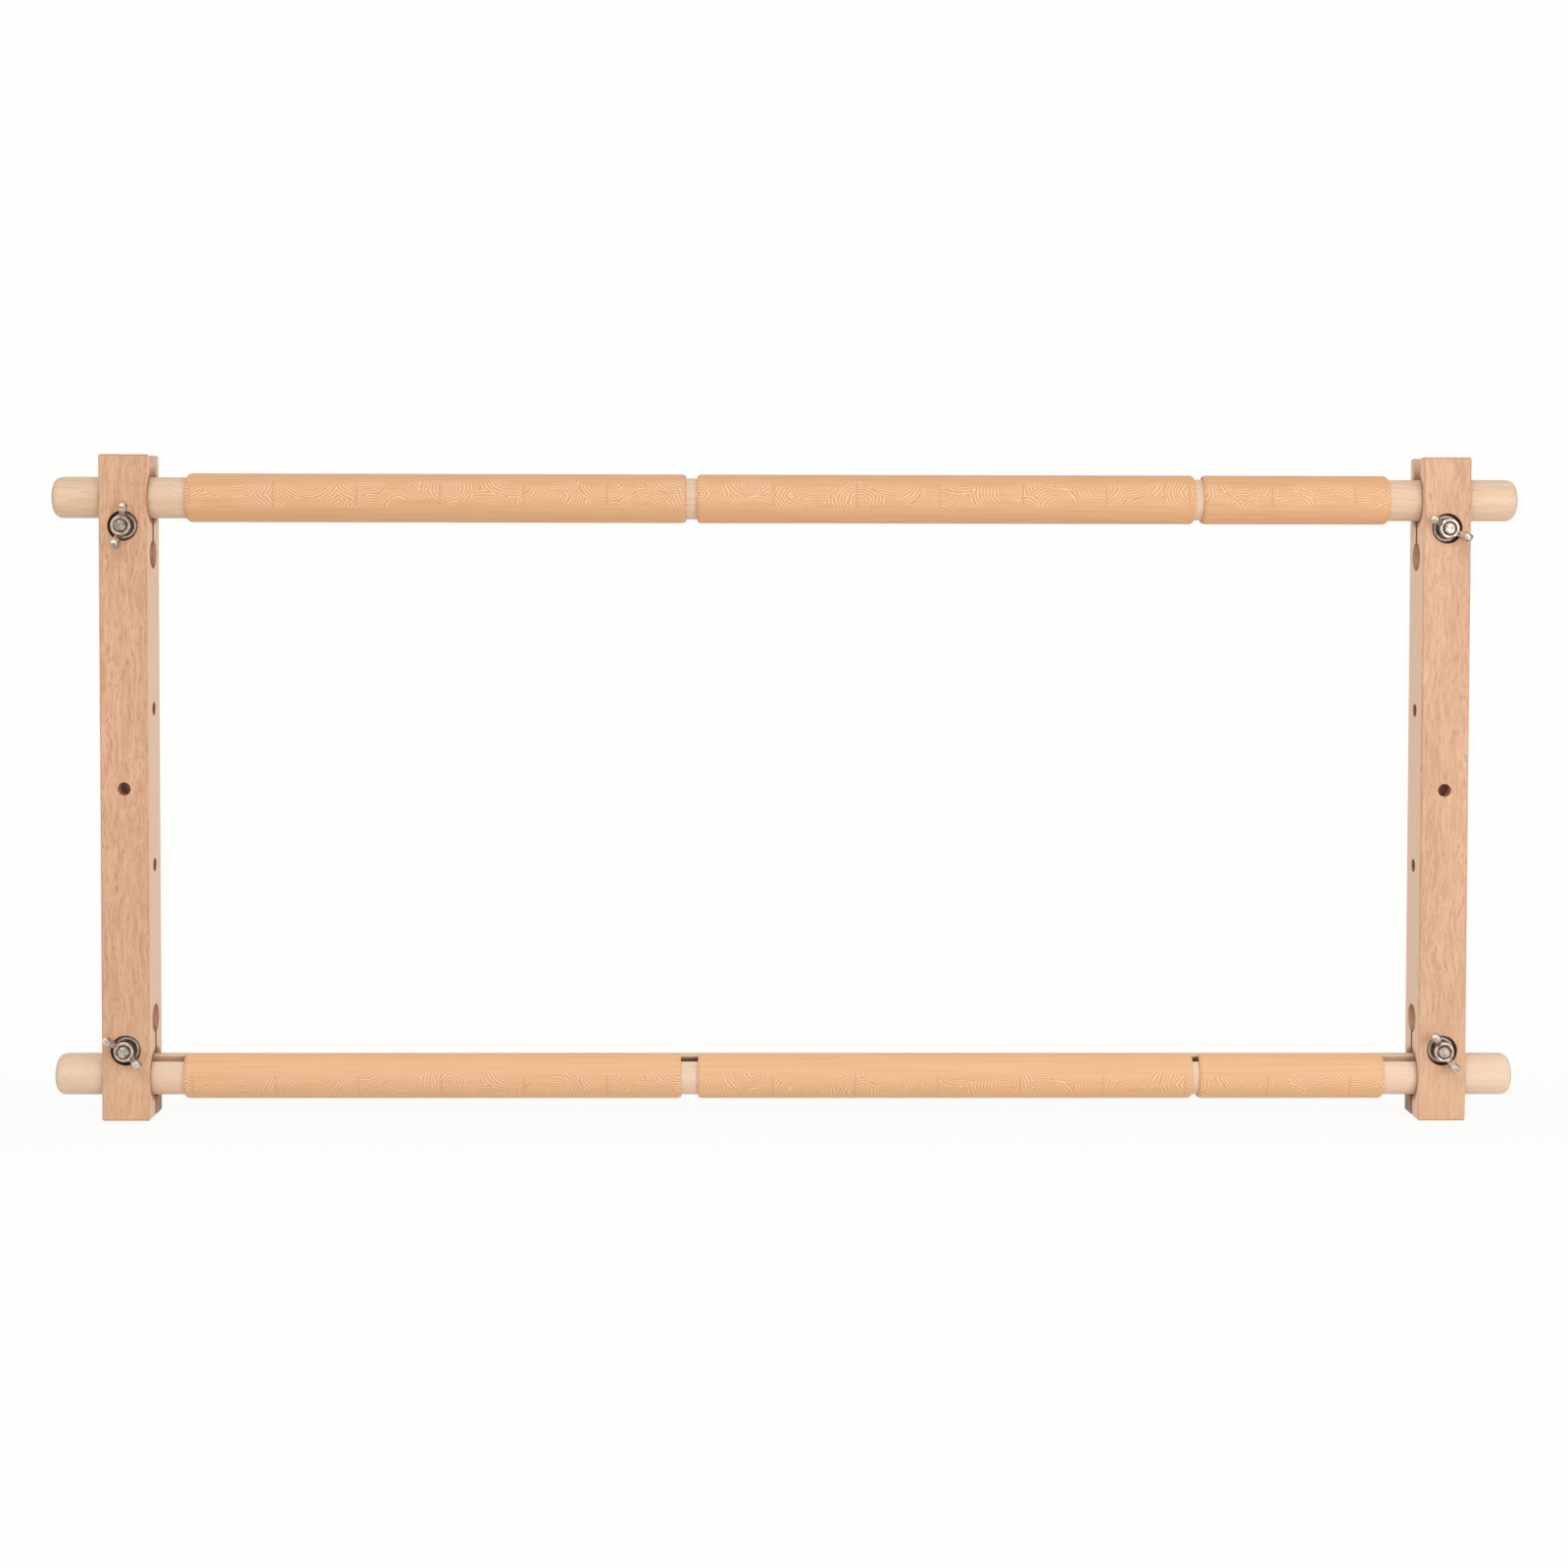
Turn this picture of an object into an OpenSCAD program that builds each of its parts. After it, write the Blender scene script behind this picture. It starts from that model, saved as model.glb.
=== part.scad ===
// Scroll frame for hand embroidery, nominal size 12 by 24 inches.
// Two beech rails carry two rollers in split, clamped ends. Spring clips hold
// the cloth on the rollers, and a carriage bolt with a wing nut closes each
// split end.
// The frame stands upright on the rails' feet: X runs along the rollers,
// the front faces -Y, and Z = 0 is the floor, midway between the rails.

/* [Rails] */
// Length of a rail, foot to top
rail_len = 305; // [240:5:480]
// Width of a rail, seen from the front
rail_w = 22; // [18:0.5:30]
// Depth of a rail, front to back
rail_t = 24; // [23:0.5:27]
// Chamfer along a rail's arrises
rail_ease = 0.8; // [0.3:0.1:1.5]

/* [Split ends] */
// Roller axis above the end of the rail
roller_end = 19.5; // [14:0.5:30]
// Bolt axis beyond the roller axis
bolt_step = 13; // [12.5:0.1:18]
// Relief hole beyond the bolt axis
relief_step = 13; // [10:0.5:20]
// Diameter of the relief hole that ends the split
relief_d = 13; // [6:0.5:14]
// Width of the saw cut between the roller and the relief hole
kerf = 2.5; // [1:0.1:3]
// Width of the slot from the upper roller to the top
top_mouth = 12; // [2:0.5:14]
// Width of the slot from the lower roller to the foot
bottom_mouth = 5; // [2:0.5:14]
// Diameter of the counterbore in front of each bolt
cbore_d = 13.6; // [12.4:0.1:14]
// Depth of that counterbore
cbore_depth = 3.5; // [1:0.1:4]
// Chamfer round the mouths of the roller's bore
bore_ease = 0.7; // [0.2:0.1:1]
// Play between a bolt and its hole, on the diameter
bolt_play = 0.5; // [0.2:0.1:0.7]
// Play round a bolt's square neck, on its width
neck_play = 0.1; // [0.1:0.1:0.4]

/* [Plain holes] */
// Diameter of the stand hole in the middle of each rail
stand_hole_d = 6; // [3:0.5:10]
// Diameter of the two side holes in each rail
side_hole_d = 6; // [3:0.5:10]
// Distance of the side holes above and below the middle
side_hole_step = 36; // [12:1:80]

/* [Rollers] */
// Diameter of a roller
roller_d = 19; // [17:0.5:19.5]
// Length of a roller beyond each rail
roller_stub = 22.8; // [8:0.1:60]
// Rounding of a roller's ends
roller_round = 4; // [0.5:0.5:5]
// Clearance between a roller and its bore, on the radius
roller_fit = 0.1; // [0.05:0.05:0.3]
// Width of the groove along a roller
groove_w = 3.6; // [3:0.1:5]
// Depth of that groove
groove_depth = 4; // [3:0.5:6]
// How far the groove runs on into each rail
groove_run_in = 4; // [0:0.5:10]
// Top roller turned from groove up towards the front
top_turn = 0; // [-180:1:180]
// Bottom roller turned from groove up towards the front
bottom_turn = 33; // [-180:1:180]

/* [Clips] */
// Length of the two long clips on each roller
clip_long = 228; // [150:1:300]
// Length of the short clip on each roller
clip_short = 85; // [40:1:120]
// Free length left on each roller beside its three clips
clip_room = 41; // [30:1:120]
// Wall of a clip
clip_wall = 1.6; // [1:0.1:2.4]
// Clearance between a clip and its roller, on the radius
clip_fit = 0.1; // [0.05:0.05:0.3]
// Angle from the middle of the groove to the end of the lip behind it
clip_lip = 8; // [8:1:60]
// Angle of the open side of a clip
clip_open = 130; // [80:5:140]
// Length of the bevel round a clip's ends
clip_bevel_len = 1.4; // [0.5:0.1:4]
// Depth of that bevel
clip_bevel = 0.8; // [0.2:0.1:1.4]
// Width of the rib that seats in the groove
rib_w = 2.6; // [1:0.1:2.8]
// Height of that rib
rib_h = 2.5; // [1:0.1:2.8]
// Gap between the left rail and the first top clip
top_first_gap = 16.7; // [1:0.1:18]
// Gap between the two long top clips
top_second_gap = 5.4; // [1:0.1:8]
// Gap between the second long top clip and the short one
top_third_gap = 4.2; // [1:0.1:5]
// Gap between the left rail and the first bottom clip
bottom_first_gap = 14.8; // [1:0.1:16]
// Gap between the two long bottom clips
bottom_second_gap = 7.9; // [1:0.1:8]
// Gap between the second long bottom clip and the short one
bottom_third_gap = 3.3; // [1:0.1:5]

/* [Carriage bolts] */
// Thread diameter
bolt_d = 5; // [4:0.5:5.5]
// Length under the head
bolt_len = 30; // [28:1:40]
// Diameter of the domed head
head_d = 13.5; // [9:0.5:16]
// Height of the domed head
head_h = 3; // [1:0.1:4]
// Width of the square neck
neck_w = 5; // [4:0.5:5.5]
// Length of the square neck
neck_len = 4; // [2:0.5:5]
// Chamfer on the end of the thread
bolt_ease = 0.6; // [0.2:0.1:1]

/* [Washers] */
// Outer diameter of a washer
washer_d = 11.6; // [9:0.1:12.2]
// Thickness of a washer
washer_t = 1; // [0.5:0.1:1.5]

/* [Wing nuts] */
// Diameter of the hub at its base
hub_d = 10; // [8:0.1:11]
// Diameter of the hub at its rim
hub_rim_d = 9.2; // [7.5:0.1:10]
// Height of the hub
hub_h = 7; // [5:0.1:8]
// Chamfer round the hub's base and rim
hub_ease = 0.4; // [0.1:0.1:1]
// Countersink of the hub's threaded hole, on the radius
hub_sink = 0.8; // [0.2:0.1:1.2]
// Clearance between a nut's hole and its bolt, on the radius
nut_fit = 0.05; // [0.05:0.05:0.2]
// Span across the wings
wing_span = 21; // [18:0.5:24]
// Height of the wings above the base
wing_h = 11.5; // [9:0.5:14]
// Thickness of a wing at the hub
wing_t = 2.2; // [1.2:0.1:2.4]
// Thickness of a wing at its tip
wing_tip_t = 3; // [1.2:0.1:3.2]
// Radius of a wing's tip, seen from the side
wing_tip_r = 2.3; // [1.5:0.1:3]
// Radius of a wing's root, seen from the side
wing_root_r = 1.8; // [1:0.1:2]
// Drop of the wing's root below the hub's rim
wing_drop = 0.4; // [0:0.1:1]
// How far the wing's plan outline passes its tip
wing_reach = 0.4; // [0.2:0.1:1]
// Angle of the wings from level, at each corner
top_left_wings = 77; // [-90:1:90]
top_right_wings = -28; // [-90:1:90]
bottom_left_wings = -38; // [-90:1:90]
bottom_right_wings = -57; // [-90:1:90]

/* [Hidden] */
$fn = 72;

// Names for the two rails, the two rollers and the three clips of a roller
LEFT = -1;
RIGHT = 1;
BOTTOM = 0;
TOP = 1;
FIRST = 0;
MIDDLE = 1;
SHORT = 2;

// How far a cutting shape passes the surface that it opens
cut = 1;

// Clear width between the rails: the clips of one roller and the free length
rail_gap = 2 * clip_long + clip_short + clip_room;
rail_x = (rail_gap + rail_w) / 2;
bore_d = roller_d + 2 * roller_fit;
bolt_end = roller_end + bolt_step;
relief_end = bolt_end + relief_step;
bolt_hole_d = bolt_d + bolt_play;
neck_hole_w = neck_w + neck_play;

roller_len = rail_gap + 2 * rail_w + 2 * roller_stub;
groove_len = rail_gap + 2 * groove_run_in;

clip_lengths = [clip_long, clip_long, clip_short];
top_gaps = [top_first_gap, top_second_gap, top_third_gap];
bottom_gaps = [bottom_first_gap, bottom_second_gap, bottom_third_gap];
clip_inner_r = roller_d / 2 + clip_fit;
clip_outer_r = clip_inner_r + clip_wall;
clip_mid_r = clip_inner_r + clip_wall / 2;

// Seats along Y, from the back of the rail to its front
back_y = rail_t / 2;
washer_y = cbore_depth - rail_t / 2;
nut_y = washer_y - washer_t;

// Centres of a wing's tip and root circles, seen from the side
wing_tip = [wing_span / 2 - wing_tip_r, wing_h - wing_tip_r];
wing_root = [hub_d / 2 - wing_root_r / 2, hub_h - wing_root_r - wing_drop];

BEECH = "#dfb491";
PALE_WOOD = "#ecd0b2";
CLIP_TAN = "#efbf91";
ZINC = "#c3c0ba";

// Left end of a clip: the gaps and clips before it, counted from the left rail
function clip_start(gaps, n) =
    -rail_gap / 2 + gaps[n] + (n == 0 ? 0 : clip_start(gaps, n - 1) + rail_gap / 2 + clip_lengths[n - 1]);

function roller_z(row) = row == TOP ? rail_len - roller_end : roller_end;
function roller_turn(row) = row == TOP ? top_turn : bottom_turn;
function row_gaps(row) = row == TOP ? top_gaps : bottom_gaps;
function bolt_z(row) = row == TOP ? rail_len - bolt_end : bolt_end;

// Turns a shape drawn along Z so that it lies along X, with its own X to the back and Y up
module along_x() {
    rotate([90, 0, 90]) children();
}

// Turns a shape drawn along Z so that it points out of the frame's front
module to_front() {
    rotate([90, 0, 0]) children();
}

// Rectangle with its corners chamfered
module eased_rect(w, h, ease) {
    a = w / 2;
    b = h / 2;
    polygon([
        [a - ease, -b], [a, ease - b], [a, b - ease], [a - ease, b],
        [ease - a, b], [-a, b - ease], [-a, ease - b], [ease - a, -b]
    ]);
}

// Bar standing on Z = 0 with all twelve edges chamfered
module eased_bar(w, t, len, ease) {
    intersection() {
        linear_extrude(len) eased_rect(w, t, ease);
        translate([0, t / 2, len / 2]) rotate([90, 0, 0]) linear_extrude(t) eased_rect(w, len, ease);
        translate([-w / 2, 0, len / 2]) along_x() linear_extrude(w) eased_rect(t, len, ease);
    }
}

// Round rod along Z, centred, with bevelled ends
module bevelled_rod(len, r, bevel_len, bevel) {
    rotate_extrude() polygon([
        [0, -len / 2], [r - bevel, -len / 2], [r, bevel_len - len / 2],
        [r, len / 2 - bevel_len], [r - bevel, len / 2], [0, len / 2]
    ]);
}

// Round rod along Z, centred, with rounded ends
module rounded_rod(len, r, round_r) {
    rotate_extrude() {
        translate([0, -len / 2]) square([r - round_r, len]);
        translate([0, round_r - len / 2]) square([r, len - 2 * round_r]);
        for (side = [-1, 1]) translate([r - round_r, side * (len / 2 - round_r)]) circle(round_r);
    }
}

// Two circles and the straight flanks that touch both
module tapered_bar(p, rp, q, rq) {
    d = norm(q - p);
    u = (q - p) / d;
    n = [-u[1], u[0]];
    s = (rp - rq) / d;
    c = sqrt(1 - s * s);
    translate(p) circle(rp);
    translate(q) circle(rq);
    polygon([
        p + rp * (s * u + c * n), q + rq * (s * u + c * n),
        q + rq * (s * u - c * n), p + rp * (s * u - c * n)
    ]);
}

// What is cut from the foot of a rail: the roller's bore, the split on both
// sides of it, the relief hole, and the bolt's hole, counterbore and neck
module split_end(mouth) {
    translate([0, 0, roller_end]) rotate([0, 90, 0]) cylinder(h = rail_w + 2 * cut, d = bore_d, center = true);
    for (side = [-1, 1]) translate([side * rail_w / 2, 0, roller_end]) rotate([0, side * 90, 0])
        translate([0, 0, -bore_ease]) cylinder(h = 2 * bore_ease, d1 = bore_d, d2 = bore_d + 4 * bore_ease);
    translate([0, 0, relief_end]) rotate([0, 90, 0]) cylinder(h = rail_w + 2 * cut, d = relief_d, center = true);
    translate([-rail_w / 2 - cut, -mouth / 2, -cut]) cube([rail_w + 2 * cut, mouth, roller_end + cut]);
    translate([-rail_w / 2 - cut, -kerf / 2, roller_end]) cube([rail_w + 2 * cut, kerf, relief_end - roller_end]);
    translate([0, 0, bolt_end]) rotate([90, 0, 0]) cylinder(h = rail_t + 2 * cut, d = bolt_hole_d, center = true);
    translate([0, washer_y, bolt_end]) to_front() cylinder(h = cbore_depth + cut, d = cbore_d);
    translate([-neck_hole_w / 2, back_y - neck_len, bolt_end - neck_hole_w / 2])
        cube([neck_hole_w, neck_len + cut, neck_hole_w]);
}

// Beech rail, the same for both sides
module rail(side) {
    color(BEECH) translate([side * rail_x, 0, 0]) difference() {
        eased_bar(rail_w, rail_t, rail_len, rail_ease);
        split_end(bottom_mouth);
        translate([0, 0, rail_len]) mirror([0, 0, 1]) split_end(top_mouth);
        translate([0, 0, rail_len / 2]) rotate([90, 0, 0])
            cylinder(h = rail_t + 2 * cut, d = stand_hole_d, center = true);
        for (way = [-1, 1]) translate([0, 0, rail_len / 2 + way * side_hole_step]) rotate([0, 90, 0])
            cylinder(h = rail_w + 2 * cut, d = side_hole_d, center = true);
    }
}

// Turned roller with a stopped groove that takes the clips' ribs
module roller(row) {
    color(PALE_WOOD) translate([0, 0, roller_z(row)]) rotate([roller_turn(row), 0, 0]) difference() {
        rotate([0, 90, 0]) rounded_rod(roller_len, roller_d / 2, roller_round);
        translate([-groove_len / 2, -groove_w / 2, roller_d / 2 - groove_depth])
            cube([groove_len, groove_w, groove_depth + cut]);
    }
}

// Outline of a clip seen along its roller: an open ring with rounded lips and the rib
module clip_outline() {
    reach = 2 * clip_outer_r;
    difference() {
        circle(clip_outer_r);
        circle(clip_inner_r);
        polygon(concat([[0, 0]], [for (i = [0:4])
            let (a = clip_lip + clip_open * i / 4) reach * [sin(a), cos(a)]]));
    }
    for (a = [clip_lip, clip_lip + clip_open]) translate(clip_mid_r * [sin(a), cos(a)]) circle(clip_wall / 2);
    translate([-rib_w / 2, clip_inner_r - rib_h]) square([rib_w, rib_h + clip_wall / 2]);
}

// Spring clip of moulded plastic with its rib in the roller's groove
module clip(row, n) {
    len = clip_lengths[n];
    color(CLIP_TAN) translate([clip_start(row_gaps(row), n) + len / 2, 0, roller_z(row)])
        rotate([roller_turn(row), 0, 0]) intersection() {
            translate([-len / 2, 0, 0]) along_x() linear_extrude(len) clip_outline();
            rotate([0, 90, 0]) bevelled_rod(len, clip_outer_r, clip_bevel_len, clip_bevel);
        }
}

// Round cap of a sphere, flat side on Z = 0
module dome(d, h) {
    ball_r = (d * d / 4 + h * h) / (2 * h);
    rotate_extrude() intersection() {
        translate([0, h - ball_r]) circle(ball_r);
        square([d / 2, h]);
    }
}

// Carriage bolt from the back: domed head, square neck and plain shank for the thread
module carriage_bolt(side, row) {
    color(ZINC) translate([side * rail_x, back_y, bolt_z(row)]) {
        rotate([-90, 0, 0]) dome(head_d, head_h);
        translate([-neck_w / 2, -neck_len, -neck_w / 2]) cube([neck_w, neck_len, neck_w]);
        to_front() cylinder(h = bolt_len - bolt_ease, d = bolt_d);
        translate([0, bolt_ease - bolt_len, 0]) to_front()
            cylinder(h = bolt_ease, d1 = bolt_d, d2 = bolt_d - 2 * bolt_ease);
    }
}

// Flat washer on the floor of the counterbore
module washer(side, row) {
    color(ZINC) translate([side * rail_x, washer_y, bolt_z(row)]) to_front() difference() {
        cylinder(h = washer_t, d = washer_d);
        translate([0, 0, -cut]) cylinder(h = washer_t + 2 * cut, d = bolt_hole_d);
    }
}

// One wing: its side outline and its plan outline, crossed. The plan runs on
// a little past the tip, so that the tip keeps a narrow rounded edge
module wing() {
    intersection() {
        translate([0, wing_tip_t, 0]) rotate([90, 0, 0]) linear_extrude(2 * wing_tip_t)
            tapered_bar(wing_root, wing_root_r, wing_tip, wing_tip_r);
        linear_extrude(wing_h + cut)
            tapered_bar([0, 0], wing_t / 2, [(wing_span - wing_tip_t) / 2 + wing_reach, 0], wing_tip_t / 2);
    }
}

// Wing nut on its washer, turned to the angle at which it was left
module wing_nut(side, row, angle) {
    hole_r = bolt_d / 2 + nut_fit;
    color(ZINC) translate([side * rail_x, nut_y, bolt_z(row)]) to_front() rotate([0, 0, angle]) difference() {
        union() {
            rotate_extrude() polygon([
                [0, 0], [hub_d / 2 - hub_ease, 0], [hub_d / 2, hub_ease], [hub_rim_d / 2, hub_h - hub_ease],
                [hub_rim_d / 2 - hub_ease, hub_h], [0, hub_h]
            ]);
            for (turn = [0, 180]) rotate([0, 0, turn]) wing();
        }
        translate([0, 0, -cut]) cylinder(h = wing_h + 2 * cut, r = hole_r);
        translate([0, 0, hub_h - hub_sink]) cylinder(h = hub_sink, r1 = hole_r, r2 = hole_r + hub_sink);
        translate([0, 0, hub_h]) cylinder(h = wing_h, r = hole_r + hub_sink);
    }
}

rail(LEFT);  // left_rail
rail(RIGHT);  // right_rail
roller(TOP);  // top_roller
roller(BOTTOM);  // bottom_roller
clip(TOP, FIRST);  // top_left_clip
clip(TOP, MIDDLE);  // top_middle_clip
clip(TOP, SHORT);  // top_short_clip
clip(BOTTOM, FIRST);  // bottom_left_clip
clip(BOTTOM, MIDDLE);  // bottom_middle_clip
clip(BOTTOM, SHORT);  // bottom_short_clip
carriage_bolt(LEFT, TOP);  // top_left_bolt
carriage_bolt(RIGHT, TOP);  // top_right_bolt
carriage_bolt(LEFT, BOTTOM);  // bottom_left_bolt
carriage_bolt(RIGHT, BOTTOM);  // bottom_right_bolt
washer(LEFT, TOP);  // top_left_washer
washer(RIGHT, TOP);  // top_right_washer
washer(LEFT, BOTTOM);  // bottom_left_washer
washer(RIGHT, BOTTOM);  // bottom_right_washer
wing_nut(LEFT, TOP, top_left_wings);  // top_left_wing_nut
wing_nut(RIGHT, TOP, top_right_wings);  // top_right_wing_nut
wing_nut(LEFT, BOTTOM, bottom_left_wings);  // bottom_left_wing_nut
wing_nut(RIGHT, BOTTOM, bottom_right_wings);  // bottom_right_wing_nut
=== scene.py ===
import math

import bmesh
import bpy
from mathutils import Matrix, Vector


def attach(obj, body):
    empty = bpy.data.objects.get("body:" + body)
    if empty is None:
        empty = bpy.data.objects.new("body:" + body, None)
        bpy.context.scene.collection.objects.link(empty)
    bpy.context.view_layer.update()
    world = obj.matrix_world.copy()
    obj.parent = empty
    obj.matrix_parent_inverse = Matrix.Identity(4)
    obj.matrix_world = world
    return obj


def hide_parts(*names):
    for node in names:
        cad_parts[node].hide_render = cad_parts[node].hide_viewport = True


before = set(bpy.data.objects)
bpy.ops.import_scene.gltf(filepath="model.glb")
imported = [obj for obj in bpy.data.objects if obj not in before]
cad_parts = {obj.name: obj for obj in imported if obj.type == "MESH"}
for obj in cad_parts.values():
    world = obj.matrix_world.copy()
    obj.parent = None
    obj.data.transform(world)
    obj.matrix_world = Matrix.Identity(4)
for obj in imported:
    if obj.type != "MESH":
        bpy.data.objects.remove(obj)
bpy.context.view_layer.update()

# Rails
# The two uprights: planed beech, 22 mm wide and 24 mm deep, sanded and left
# bare, with the arrises just broken. Both ends are sawn open as far as a
# relief hole and closed on the roller by a bolt, so end grain shows there.

MM = 0.001
RAIL_TAN = "#E0B594"
RAIL_ROSE = "#CB9774"
RAIL_FLECK = "#B27E5E"
RAIL_END = "#B98963"
RAIL_LIGHT = "#F0C9A0"
RAIL_PALE = "#E2C4AD"
RAIL_SIDE = "#FFE0C6"
SIDE_HOLE_SHADE = "#B4744C"
FRONT_HOLE_SHADE = "#D29A76"
GAP_SHADE_BROWN = "#925B3A"
COUNTERBORE_SHADE = "#5A2F1B"
RAIL_PAINTED_SHADE = "#7C5238"
# Places on a rail: its middle in X, half its height, and steps up and down from there
RAIL_CENTRE = 302 * MM
RAIL_MIDDLE = 152.5 * MM
ROLLER_STEP = 133 * MM
BOLT_STEP = 120 * MM
CUT_START = 100.5 * MM
SIDE_HOLE_STEP = 36 * MM
# Radii of what is drilled, and half the widths of what is sawn
ROLLER_RADIUS = 9.5 * MM
BORE_MOUTH = 10.3 * MM
COUNTERBORE = 6.8 * MM
HOLE_RADIUS = 3 * MM
TOP_SLOT_HALF = 6 * MM
KERF_HALF = 1.25 * MM
PORE_DEPTH = 0.12 * MM


def linear(code):
    """An sRGB hex colour as the linear colour that a shader takes."""
    parts = [int(code[i : i + 2], 16) / 255 for i in (1, 3, 5)]
    return (*[p / 12.92 if p <= 0.04045 else ((p + 0.055) / 1.055) ** 2.4 for p in parts], 1.0)


def add(tree, kind, settings=None, inputs=None):
    """Adds a node with its settings, and with a value or a link for each input.

    The inputs are a list in the node's order, or go by name. A node among them stands for its first output.
    Sockets that the settings switch off don't count.
    """
    node = tree.nodes.new(kind)
    for name, value in (settings or {}).items():
        setattr(node, name, value)
    used = [socket for socket in node.inputs if socket.enabled]
    for key, value in inputs.items() if isinstance(inputs, dict) else enumerate(inputs or []):
        socket = used[key] if isinstance(key, int) else node.inputs[key]
        if isinstance(value, bpy.types.Node):
            value = next(output for output in value.outputs if output.enabled)
        if isinstance(value, bpy.types.NodeSocket):
            tree.links.new(value, socket)
        else:
            socket.default_value = value
    return node


def new_material(name):
    """An empty node material."""
    material = bpy.data.materials.new(name)
    material.use_nodes = True
    material.node_tree.nodes.clear()
    return material


def facing(tree, axis):
    """How squarely a face looks along an axis, from 0 to 1."""
    normal = add(tree, "ShaderNodeNewGeometry").outputs["Normal"]
    share = add(tree, "ShaderNodeSeparateXYZ", inputs=[normal]).outputs[axis]
    return add(tree, "ShaderNodeMath", {"operation": "ABSOLUTE"}, [share])


def wood(name, grain, light, dark, fleck, end, look, finish=None):
    """Bare wood with its grain along one axis: colour drift, wavy growth lines, flecks and end grain.

    look holds the growth lines' and the flecks' width and length in mm, and how strongly each shows.
    finish, if any, is given the tree, the place and the colour, and gives the colour back.
    """
    material = new_material(name)
    tree = material.node_tree
    place = add(tree, "ShaderNodeTexCoord").outputs["Object"]
    sway = add(tree, "ShaderNodeTexNoise", inputs={"Vector": place, "Scale": 38.0, "Detail": 1.0})
    wave = [look["sway"] * MM] * 3
    wave[grain] = 0.0
    placed = add(tree, "ShaderNodeVectorMath", {"operation": "MULTIPLY_ADD"}, [
        sway.outputs["Color"], wave, place])

    def stretched(width_mm, length_mm, offset=0.0):
        """Places for a pattern of this width across the grain and this length along it."""
        scale = [1 / (width_mm * MM)] * 3
        scale[grain] = 1 / (length_mm * MM)
        return add(tree, "ShaderNodeMapping", inputs={
            "Vector": placed, "Scale": scale, "Location": (offset,) * 3})

    def streaks(size, offset, detail, distortion):
        """Noise drawn out along the grain."""
        return add(tree, "ShaderNodeTexNoise", inputs={
            "Vector": stretched(*size, offset), "Scale": 1.0, "Detail": detail, "Roughness": 0.6,
            "Distortion": distortion})

    drift = streaks((15, 130), 0.0, 2.0, 0.0)
    drift_mark = add(tree, "ShaderNodeMapRange", inputs=[drift, 0.36, 0.64, 0.0, 0.35])
    lines = streaks(look["line"], 3.1, 3.0, 0.5)
    line_mark = add(tree, "ShaderNodeMapRange", inputs=[lines, 0.4, 0.64, 0.0, look["line_reach"]])
    marks = add(tree, "ShaderNodeMath", {"operation": "ADD"}, [drift_mark, line_mark])
    ground = add(tree, "ShaderNodeMix", {"data_type": "RGBA"}, [marks, linear(light), linear(dark)])
    flecks = streaks(look["fleck"], 7.7, 1.0, 0.2)
    fleck_mark = add(tree, "ShaderNodeMapRange", inputs=[flecks, 0.58, 0.7, 0.0, look["fleck_reach"]])
    long_grain = add(tree, "ShaderNodeMix", {"data_type": "RGBA"}, [fleck_mark, ground, linear(fleck)])

    # A face cut across the grain is darker and shows its pores as dots
    cut = add(tree, "ShaderNodeMapRange", inputs=[facing(tree, grain), 0.55, 0.95, 0.0, 1.0])
    dots = add(tree, "ShaderNodeTexVoronoi", inputs={"Vector": stretched(0.8, 700, 1.3), "Scale": 1.0})
    dot_mark = add(tree, "ShaderNodeMapRange", inputs=[dots.outputs["Distance"], 0.15, 0.45, 0.5, 0.0])
    end_grain = add(tree, "ShaderNodeMix", {"data_type": "RGBA"}, [dot_mark, linear(end), linear(fleck)])
    colour = add(tree, "ShaderNodeMix", {"data_type": "RGBA"}, [cut, long_grain, end_grain])
    if finish:
        colour = finish(tree, place, colour)

    height = add(tree, "ShaderNodeMath", {"operation": "SUBTRACT"}, [lines, fleck_mark])
    relief = add(tree, "ShaderNodeBump", inputs={"Height": height, "Strength": 0.4, "Distance": PORE_DEPTH})
    shader = add(tree, "ShaderNodeBsdfPrincipled", inputs={
        "Base Color": colour, "Roughness": look["rough"], "IOR": 1.5, "Specular IOR Level": 0.3,
        "Normal": relief})
    add(tree, "ShaderNodeOutputMaterial", inputs={"Surface": shader})
    return material


def distance(tree, first, second):
    """How far a point is from an axis, from its two offsets across it."""
    squares = [
        add(tree, "ShaderNodeMath", {"operation": "MULTIPLY"}, [step, step]) for step in (first, second)]
    total = add(tree, "ShaderNodeMath", {"operation": "ADD"}, squares)
    return add(tree, "ShaderNodeMath", {"operation": "SQRT"}, [total])


def rail_steps(tree, spot):
    """How far a place is out from the middle of its rail's width, and from the middle of its height."""
    from_centre = add(tree, "ShaderNodeMath", {"operation": "ABSOLUTE"}, [spot[0]])
    across = add(tree, "ShaderNodeMath", {"operation": "SUBTRACT"}, [from_centre, RAIL_CENTRE])
    up = add(tree, "ShaderNodeMath", {"operation": "SUBTRACT"}, [spot[2], RAIL_MIDDLE])
    return across, add(tree, "ShaderNodeMath", {"operation": "ABSOLUTE"}, [up])


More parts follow.
